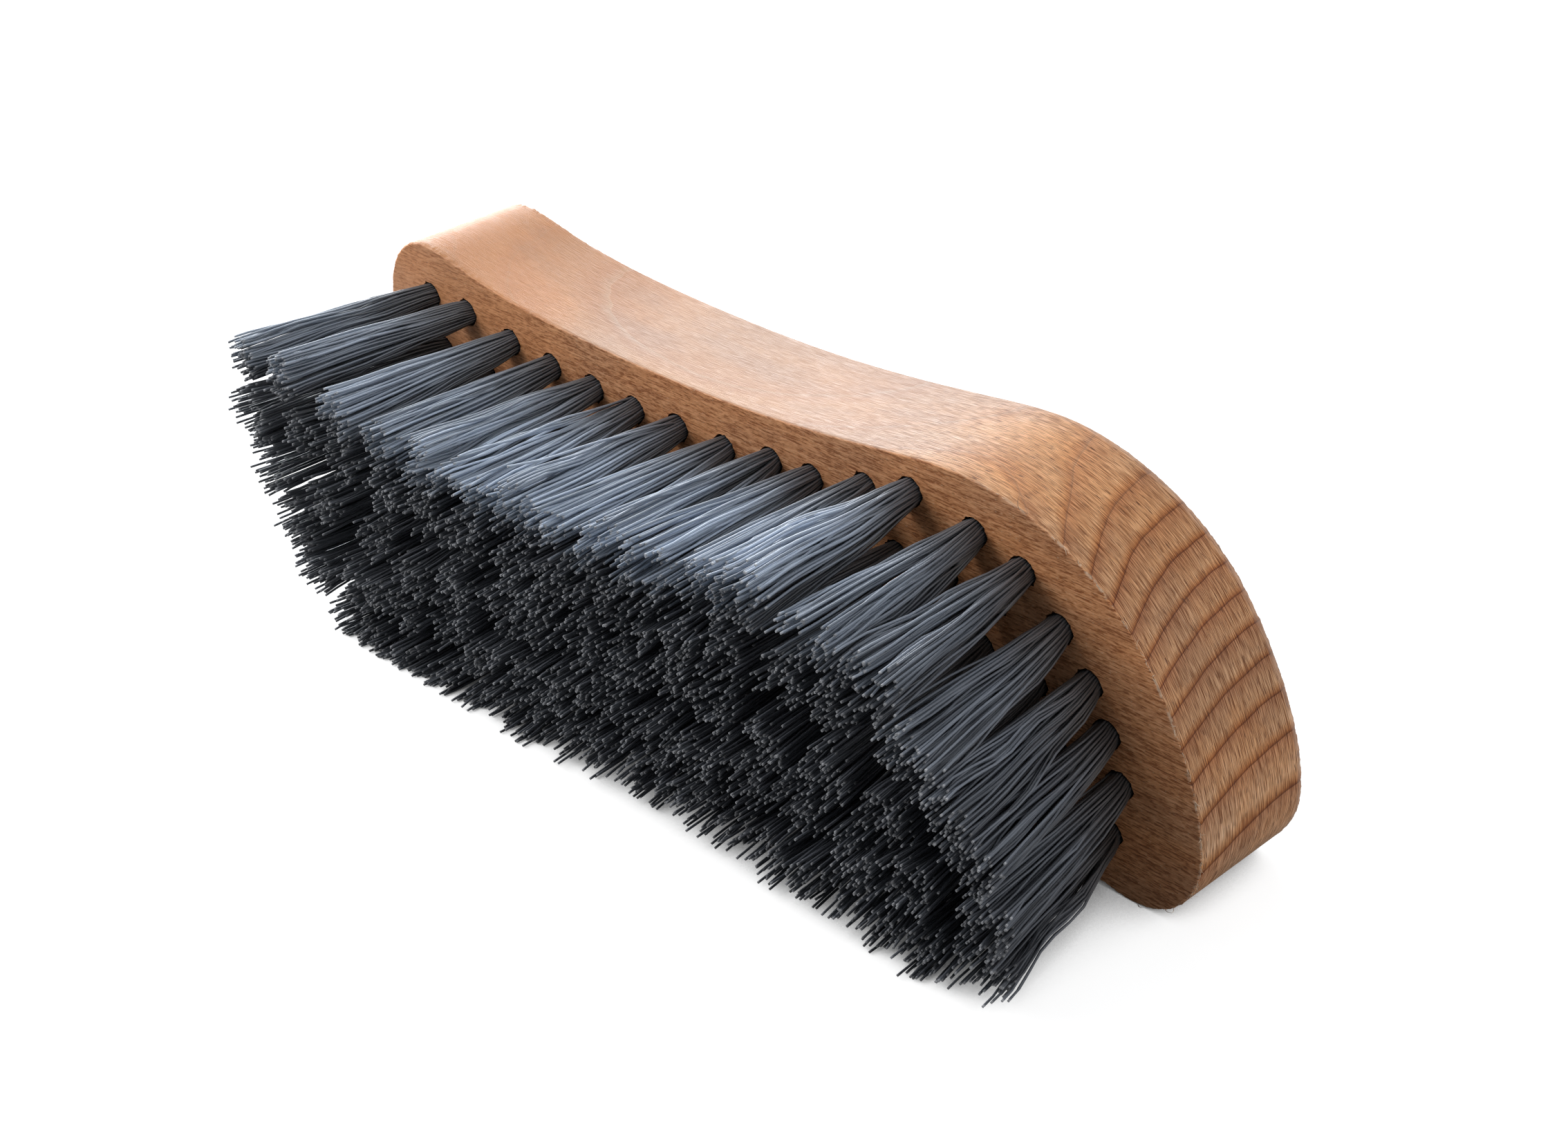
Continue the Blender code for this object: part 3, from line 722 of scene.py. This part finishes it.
def short_fibre(rng, edge, index):
    """A short fibre that lies on the edge or curls away from it."""
    along, out = edge_ways(edge, index)
    if rng.random() < LYING_SHARE:
        way = along * rng.choice((-1, 1)) + out * rng.uniform(-0.1, 0.5)
        way += Vector((0, rng.uniform(-0.5, 0.2), 0))
        length, curl = rng.uniform(0.0003, 0.0011), rng.uniform(0.0, 0.5)
    else:
        way = out + along * rng.uniform(-0.8, 0.8)
        way += Vector((0, rng.uniform(-0.9, 0.1), 0))
        length, curl = rng.uniform(0.0003, 0.0009), rng.uniform(0.2, 1.2)
    foot = edge[index] - out * 0.00015 + Vector((0, 0.00015, 0))
    return sliver(rng, foot, way.normalized(), length, curl)


def long_fibre(rng, edge, share, length):
    """One of the few long fibres, which stand out from the edge and lean back along it."""
    index = int(len(edge) * share)
    along, out = edge_ways(edge, index)
    way = (along * -0.4 + out * 0.5 + Vector((0, -0.4, 0))).normalized()
    return sliver(rng, edge[index] - out * 0.0001, way, length, 0.7)


def torn_fibres(rng):
    """All the fibres along the front edge round the right end, none where it lies close to the table."""
    edge = outline_points(3, 6)
    slivers = []
    for _ in range(FIBRE_TRIES):
        index = int(len(edge) * rng.beta(2.2, 1.3)) % (len(edge) - 1)
        if edge[index].z >= LEAST_FOOT_HEIGHT:
            slivers.append(short_fibre(rng, edge, index))
    return slivers + [long_fibre(rng, edge, share, length) for share, length in LONG_FIBRES]


def empty_curve(name, radius, bevel_resolution):
    """A curve with no points yet that makes round strands of a radius."""
    bpy.ops.curve.primitive_bezier_curve_add(radius=0.01)
    piece = bpy.context.object
    piece.name = name
    piece.location = (0, 0, 0)
    piece.data.splines.clear()
    piece.data.dimensions = "3D"
    piece.data.bevel_depth = radius
    piece.data.bevel_resolution = bevel_resolution
    return piece


def frayed_fibres():
    """All the torn fibres as one piece, each tapering to its tip."""
    rng = np.random.default_rng(FIBRE_SEED)
    slivers = torn_fibres(rng)
    piece = empty_curve("frayed_fibres", FIBRE_RADIUS, 0)
    piece.data.use_fill_caps = True
    for points in slivers:
        spline = piece.data.splines.new("POLY")
        spline.points.add(len(points) - 1)
        width = rng.uniform(0.6, 1.5)
        for point, place, share in zip(spline.points, points, FIBRE_TAPER):
            point.co = (*place, 1)
            point.radius = share * width
    bpy.ops.object.convert(target="MESH")
    bpy.ops.object.shade_smooth_by_angle(angle=math.radians(60))
    bpy.ops.object.select_all(action="DESELECT")
    return piece


def torn_beech():
    """The bleached wood of a torn fibre, mottled pale and brown."""
    made, tree, shader = plain_material("torn_beech")
    spot = place_node(tree, "TexCoord", {}).outputs["Object"]
    inputs = {"Vector": spot, "Scale": 1500.0, "Detail": 2.0}
    mottle = place_node(tree, "TexNoise", inputs).outputs["Fac"]
    wood = blend_colour(tree, mottle, (0.60, 0.38, 0.22, 1), (0.88, 0.74, 0.58, 1))
    tree.links.new(wood, shader.inputs["Base Color"])
    tree.links.new(spread_range(tree, mottle, 0.3, 0.7, 0.5, 0.75), shader.inputs["Roughness"])
    return made


fibres = frayed_fibres()
fibres.data.materials.append(torn_beech())
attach(fibres, "root")

# The tufts
# Each is a bunch of stiff plastic strands, folded in the middle and driven into its hole by an anchor.
# They fill the hole, fan out in wavy locks, cross each other a little, and are trimmed level at the end.
FIRST_TUFT_SEED = 500
BRISTLE_LENGTH = 0.0395
STRAND_RADIUS = 0.00023
STRAND_SIDES = 6
BUNDLE_RADIUS = 0.0025
STRAND_PITCH = 0.00047
ROOT_SCATTER = 0.00004
FROM_ANCHOR = 0.00024
FOLD_DEPTHS = (0.0115, 0.0124)
FOLD_RISE = 0.0014
FLOOR_REST = 0.0005

# How a tuft leans: it sags towards the table, and the tufts at both ends are pushed outwards
HOLE_X_MAX = max(abs(x) for x, _ in ALL_HOLES)
LEFT_SPLAY = 0.0102
LOW_LEFT_SPLAY = 0.0080
RIGHT_SPLAY = 0.0070
UPPER_DROOP = 0.0034
DROP_PLACES = (-0.088, -0.084, -0.079, -0.073, -0.066, -0.020, 0.004, 0.057, 0.079, 0.090)
DROPS = (0.0045, 0.0060, 0.0072, 0.0085, 0.0095, 0.0090, 0.0055, 0.0078, 0.0040, 0.0025)
EDGE_LEAN_VARIES = 0.0004
INNER_LEAN_VARIES = 0.0009

# How wide a tuft fans out, and how its strands gather in locks and stray from them
EDGE_SPREAD = 0.0068
INNER_SPREAD = 0.0050
LOCKS = 9
LOCK_SHIFT = 0.0009
LOCK_WAVE = 0.00017
LOCK_FAN = 1.9
STRAND_SHIFT = 0.0006
STRAY_SHARE = 0.06
STRAY_SHIFT = 0.0016
STRAND_WAVE = 0.00010
CURLY_SHARE = 0.25
CURLY_WAVE = 0.00026
STRAND_BEATS = 1.9
BOW = 0.80
LOW_BOW = 0.62
BOW_VARIES = 0.06
LOW_ROWS_WITHIN = 0.065
LOW_WIDENING = 0.25
ROW_FILLING = 0.4

# How a tuft is trimmed: how far short of the full length on average, and how uneven its strands are
TRIM = -0.0007
UPPER_TRIM_VARIES = 0.0003
TRIM_VARIES = 0.0006
UPPER_STAGGER = 0.0009
STAGGER = 0.0013
LONGEST_PAST = 0.0015

# How much painted light the upper side of each upper tuft gets along the block. The shaded rows get
# painted shade all over.
PAINTED_LIGHT_PLACES = (-0.092, -0.060, -0.020, 0.045, 0.062, 0.075, 0.090)
PAINTED_LIGHT_LEVELS = (0.45, 0.78, 1.00, 0.88, 0.50, 0.28, 0.14)
PAINTED_SHADE_LEVEL = 0.10

# Where along its length a strand has points, as shares from the face to its cut end
REACHES = np.array([0.0, 0.06, 0.16, 0.27, 0.38, 0.49, 0.60, 0.71, 0.82, 0.93, 1.0])


def row_ways():
    """For each hole, the way along its row."""
    rows = [HOLES[f"bristle_row_{number}"] for number in (2, 3, 4)]
    for side in ("upper", "lower"):
        rows.append([HOLES[f"tuft_{side}_{number:02d}"][0] for number in range(1, 19)])
    ways = {}
    for row in rows:
        for hole, step in zip(row, np.gradient(np.array(row), axis=0)):
            ways[hole] = step / np.hypot(*step)
    return ways


ROW_WAYS = row_ways()


def bundle_places():
    """Where the strands on one side of the anchor stand in the hole, packed like pencils in a cup."""
    places = []
    column_pitch = STRAND_PITCH * 0.87
    columns = int(BUNDLE_RADIUS / column_pitch) + 1
    rows = int(BUNDLE_RADIUS / STRAND_PITCH) + 1
    for column in range(columns):
        across = FROM_ANCHOR + column * column_pitch
        for row in range(-rows, rows + 1):
            up = (row + 0.5 * (column % 2)) * STRAND_PITCH
            if math.hypot(across, up) <= BUNDLE_RADIUS:
                places.append((across, up))
    return places


def tuft_locks(rng):
    """The wavy locks that the strands of a tuft gather in: where each starts, ends and how it waves."""
    locks = []
    for _ in range(LOCKS):
        turn, out = rng.uniform(0, math.tau), BUNDLE_RADIUS * math.sqrt(rng.uniform(0, 1))
        middle = np.array([math.cos(turn), math.sin(turn)]) * out
        locks.append({
            "middle": middle,
            "shift": rng.normal(0, LOCK_SHIFT, 2),
            "wave": rng.normal(0, LOCK_WAVE, 2),
            "beats": rng.uniform(1.2, 2.0),
            "start": rng.uniform(0, 1),
            "tone": rng.uniform(-0.12, 0.12),
        })
    return locks


def tuft_lean(hole, level):
    """How far a tuft's end lies from straight out, across and up."""
    x, z = hole
    low = min(1.0, max(0.0, 0.5 - (z - BLOCK_MIDDLE_Z) / 0.030))
    share = x / HOLE_X_MAX
    if x < 0:
        across = -(LEFT_SPLAY + LOW_LEFT_SPLAY * low) * share ** 2 - 0.001
    else:
        across = RIGHT_SPLAY * share ** 3 - 0.001
    drop = np.interp(x, DROP_PLACES, DROPS) * ((1 - level) / 2) ** 1.3
    return np.array([across, -drop - UPPER_DROOP * (1 + level) / 2])


def tuft_habit(rng, hole, level):
    """How one tuft stands: its lean, locks and trim, how wide and tight it is, and how much painted light
    it gets.
    """
    upper_row, edge_row = level == 1, abs(level) == 1
    at_left = max(0.0, -hole[0] / HOLE_X_MAX) ** 3
    at_right = max(0.0, hole[0] / HOLE_X_MAX) ** 3
    spread = EDGE_SPREAD if edge_row else INNER_SPREAD
    lean_varies = EDGE_LEAN_VARIES if edge_row else INNER_LEAN_VARIES
    narrower = (0.42 if upper_row else 0.10) * at_left
    return SimpleNamespace(
        lean=tuft_lean(hole, level) + rng.normal(0, lean_varies, 2),
        locks=tuft_locks(rng),
        trim=rng.normal(TRIM, UPPER_TRIM_VARIES if upper_row else TRIM_VARIES),
        stagger=(UPPER_STAGGER if upper_row else STAGGER) * (1 - 0.5 * at_left),
        spread=spread * (1 - narrower - 0.20 * at_right),
        tight=(1.0 if upper_row else 0.2) * at_left + 0.6 * at_right,
        low=1.0 if level < 0 and abs(hole[0]) < LOW_ROWS_WITHIN else 0.0,
        row_way=ROW_WAYS[hole],
        painted_lit_level=np.interp(hole[0], PAINTED_LIGHT_PLACES, PAINTED_LIGHT_LEVELS) if upper_row else PAINTED_SHADE_LEVEL,
    )


def leg_offsets(rng, root, lock, habit):
    """How far one leg of a strand stands from the middle of its hole at each reach."""
    fan = lock["middle"] * habit.spread / BUNDLE_RADIUS + (root - lock["middle"]) * LOCK_FAN
    far = np.hypot(*fan)
    fan = fan * min(1.0, habit.spread * rng.uniform(0.92, 1.08) / max(far, 0.0001))
    across_row = np.array([-habit.row_way[1], habit.row_way[0]])
    off_row = abs(fan @ across_row) / habit.spread
    widened = (1 + LOW_WIDENING * habit.low) * (1 + ROW_FILLING * (1 - habit.tight) * off_row ** 2)
    fan = fan + habit.row_way * (fan @ habit.row_way) * (widened - 1)
    fan = fan + (lock["shift"] + rng.normal(0, STRAND_SHIFT, 2)) * (1 - 0.5 * habit.tight)
    if rng.random() < STRAY_SHARE:
        fan = fan + rng.normal(0, STRAY_SHIFT, 2) * (1 - 0.8 * habit.tight)
    own_wave = rng.normal(0, STRAND_WAVE, 2)
    own_wave = own_wave + rng.normal(0, CURLY_WAVE, 2) * (rng.random() < CURLY_SHARE)
    own_start = rng.uniform(0, 1)
    bow = rng.normal(LOW_BOW if habit.low else BOW, BOW_VARIES)
    offsets = []
    for reach in REACHES:
        beat = math.sin(math.tau * (lock["beats"] * reach + lock["start"]))
        own_beat = math.sin(math.tau * (STRAND_BEATS * reach + own_start))
        waves = (lock["wave"] * beat + own_wave * own_beat) * min(1.0, reach * 3.5)
        offsets.append(root + (habit.lean + fan - root) * reach ** bow + waves)
    return offsets


def strand_leg(rng, hole, habit, stand, tone):
    """One leg of a strand from the face to its cut end: its points, its tone and its painted light."""
    x, z = hole
    root = np.array(stand) + rng.normal(0, ROOT_SCATTER, 2)
    lock = min(habit.locks, key=lambda one: np.hypot(*(one["middle"] - root)))
    length = BRISTLE_LENGTH + min(LONGEST_PAST, habit.trim + rng.normal(0, habit.stagger))
    points = []
    for reach, offset in zip(REACHES, leg_offsets(rng, root, lock, habit)):
        points.append((x + offset[0], FACE_Y - length * reach, max(z + offset[1], FLOOR_REST)))
    # Painted light: the upper side of a tuft gets the most, and its lower side painted shade.
    painted_lit_share = min(1.0, max(0.0, 0.60 + root[1] / BUNDLE_RADIUS))
    tone = min(1.0, max(0.0, tone * 0.7 + 0.15 + lock["tone"]))
    return points, tone, PAINTED_SHADE_LEVEL + (habit.painted_lit_level - PAINTED_SHADE_LEVEL) * painted_lit_share


def folded_strand(legs, fold):
    """A strand in along one leg, round its fold and out along the other, with what each point keeps."""
    (left, *left_shade), (right, *right_shade) = legs
    reaches = [*REACHES[::-1], 0.0, 0.0, 0.0, *REACHES]
    shades = []
    for left_value, right_value in zip(left_shade, right_shade):
        shades.append([left_value] * (len(left) + 1) + [right_value] * (len(right) + 2))
    return left[::-1] + fold + right, reaches, *shades


def tuft_strands(rng, hole, level):
    """The folded strands of one tuft, each point with its reach, tone and painted light."""
    x, z = hole
    habit = tuft_habit(rng, hole, level)
    strands = []
    for across, up in bundle_places():
        tone = rng.uniform(0, 1)
        legs = [strand_leg(rng, hole, habit, (side * across, up), tone) for side in (-1, 1)]
        depth = rng.uniform(*FOLD_DEPTHS)
        fold = [
            (x - across, FACE_Y + depth - FOLD_RISE, z + up),
            (x, FACE_Y + depth, z + up),
            (x + across, FACE_Y + depth - FOLD_RISE, z + up),
        ]
        strands.append(folded_strand(legs, fold))
    return strands


def bristle_piece(name, strands):
    """One mesh of round strands, which keeps their reach, tone and painted light."""
    piece = empty_curve(name, STRAND_RADIUS, 1)
    for points, *_ in strands:
        spline = piece.data.splines.new("POLY")
        spline.points.add(len(points) - 1)
        flat = np.column_stack([np.array(points), np.ones(len(points))])
        spline.points.foreach_set("co", flat.ravel())
    bpy.ops.object.convert(target="MESH")
    bpy.ops.object.mode_set(mode="EDIT")
    bpy.ops.mesh.select_all(action="SELECT")
    bpy.ops.mesh.fill_holes(sides=STRAND_SIDES)
    bpy.ops.object.mode_set(mode="OBJECT")
    for index, label in enumerate(("strand_reach", "strand_tone", "strand_painted_light"), 1):
        kept = np.concatenate([strand[index] for strand in strands])
        layer = piece.data.attributes.new(label, "FLOAT", "POINT")
        layer.data.foreach_set("value", np.repeat(kept, STRAND_SIDES))
    bpy.ops.object.shade_smooth_by_angle(angle=math.radians(75))
    bpy.ops.object.select_all(action="DESELECT")
    return piece


def strand_material():
    """Blue-grey plastic in many tones, with painted light on the upper side of the upper row, painted
    shade elsewhere and at the root, and light at its cuts.
    """
    made, tree, shader = plain_material("grey_bristle")
    tone = place_node(tree, "Attribute", {}, attribute_name="strand_tone").outputs["Fac"]
    reach = place_node(tree, "Attribute", {}, attribute_name="strand_reach").outputs["Fac"]
    spot = place_node(tree, "TexCoord", {}).outputs["Object"]
    clouds = place_node(tree, "TexNoise", {"Vector": spot, "Scale": 180.0, "Detail": 2.0}).outputs["Fac"]
    # Painted light and shade: each strand's painted light blends a shaded copy of the plastic into a lit
    # copy.
    pale = place_node(tree, "Attribute", {}, attribute_name="strand_painted_light").outputs["Fac"]
    mixed = calc(tree, "ADD", times(tree, tone, 0.75), times(tree, clouds, 0.25))
    bright = blend_colour(tree, mixed, (0.085, 0.104, 0.135, 1), (0.700, 0.820, 1.000, 1))
    dark = blend_colour(tree, mixed, (0.013, 0.013, 0.015, 1), (0.088, 0.088, 0.098, 1))
    plastic = blend_colour(tree, pale, dark, bright)
    # Painted shade near the root, where the block shades the strands from the back light.
    painted_root_shade = spread_range(tree, reach, 0.05, 0.60, 0.85, 0.0)
    plastic = blend_colour(tree, painted_root_shade, plastic, (0.050, 0.045, 0.042, 1))
    cut = spread_range(tree, reach, 0.985, 0.998, 0.0, 0.80)
    cut_shade = blend_colour(tree, tone, (0.08, 0.08, 0.084, 1), (0.62, 0.63, 0.66, 1))
    plastic = blend_colour(tree, cut, plastic, cut_shade)
    tree.links.new(plastic, shader.inputs["Base Color"])
    rough = spread_range(tree, clouds, 0.3, 0.7, 0.38, 0.52)
    tree.links.new(rough, shader.inputs["Roughness"])
    shader.inputs["Specular IOR Level"].default_value = 0.80
    return made


grey_bristle = strand_material()
for order, (node, level) in enumerate(TUFT_NODES.items()):
    tuft_rng = np.random.default_rng(FIRST_TUFT_SEED + order)
    all_strands = []
    for hole in HOLES[node]:
        all_strands += tuft_strands(tuft_rng, hole, level)
    name = node.replace("tuft", "strands").replace("bristle_row", "strands_row")
    tuft = bristle_piece(name, all_strands)
    tuft.data.materials.append(grey_bristle)
    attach(tuft, "root")
    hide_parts(node)

# The wire anchors
# Each is cut from flat drawn steel wire and pins the fold of a tuft across the bottom of its hole.
# They are the CAD's own pieces, out of sight in the wood, with a drawn steel finish.


def drawn_steel():
    """Bright wire with fine drawing lines along it."""
    made, tree, shader = plain_material("drawn_steel")
    spot = place_node(tree, "TexCoord", {}).outputs["Object"]
    lines = grain_noise(tree, spot, (9000.0, 9000.0, 300.0))
    steel = blend_colour(tree, lines, (0.42, 0.42, 0.43, 1), (0.66, 0.66, 0.67, 1))
    tree.links.new(steel, shader.inputs["Base Color"])
    tree.links.new(spread_range(tree, lines, 0.3, 0.7, 0.25, 0.45), shader.inputs["Roughness"])
    shader.inputs["Metallic"].default_value = 1.0
    return made


steel_wire = drawn_steel()
for node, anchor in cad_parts.items():
    if node.startswith("anchor"):
        anchor.material_slots[0].material = steel_wire
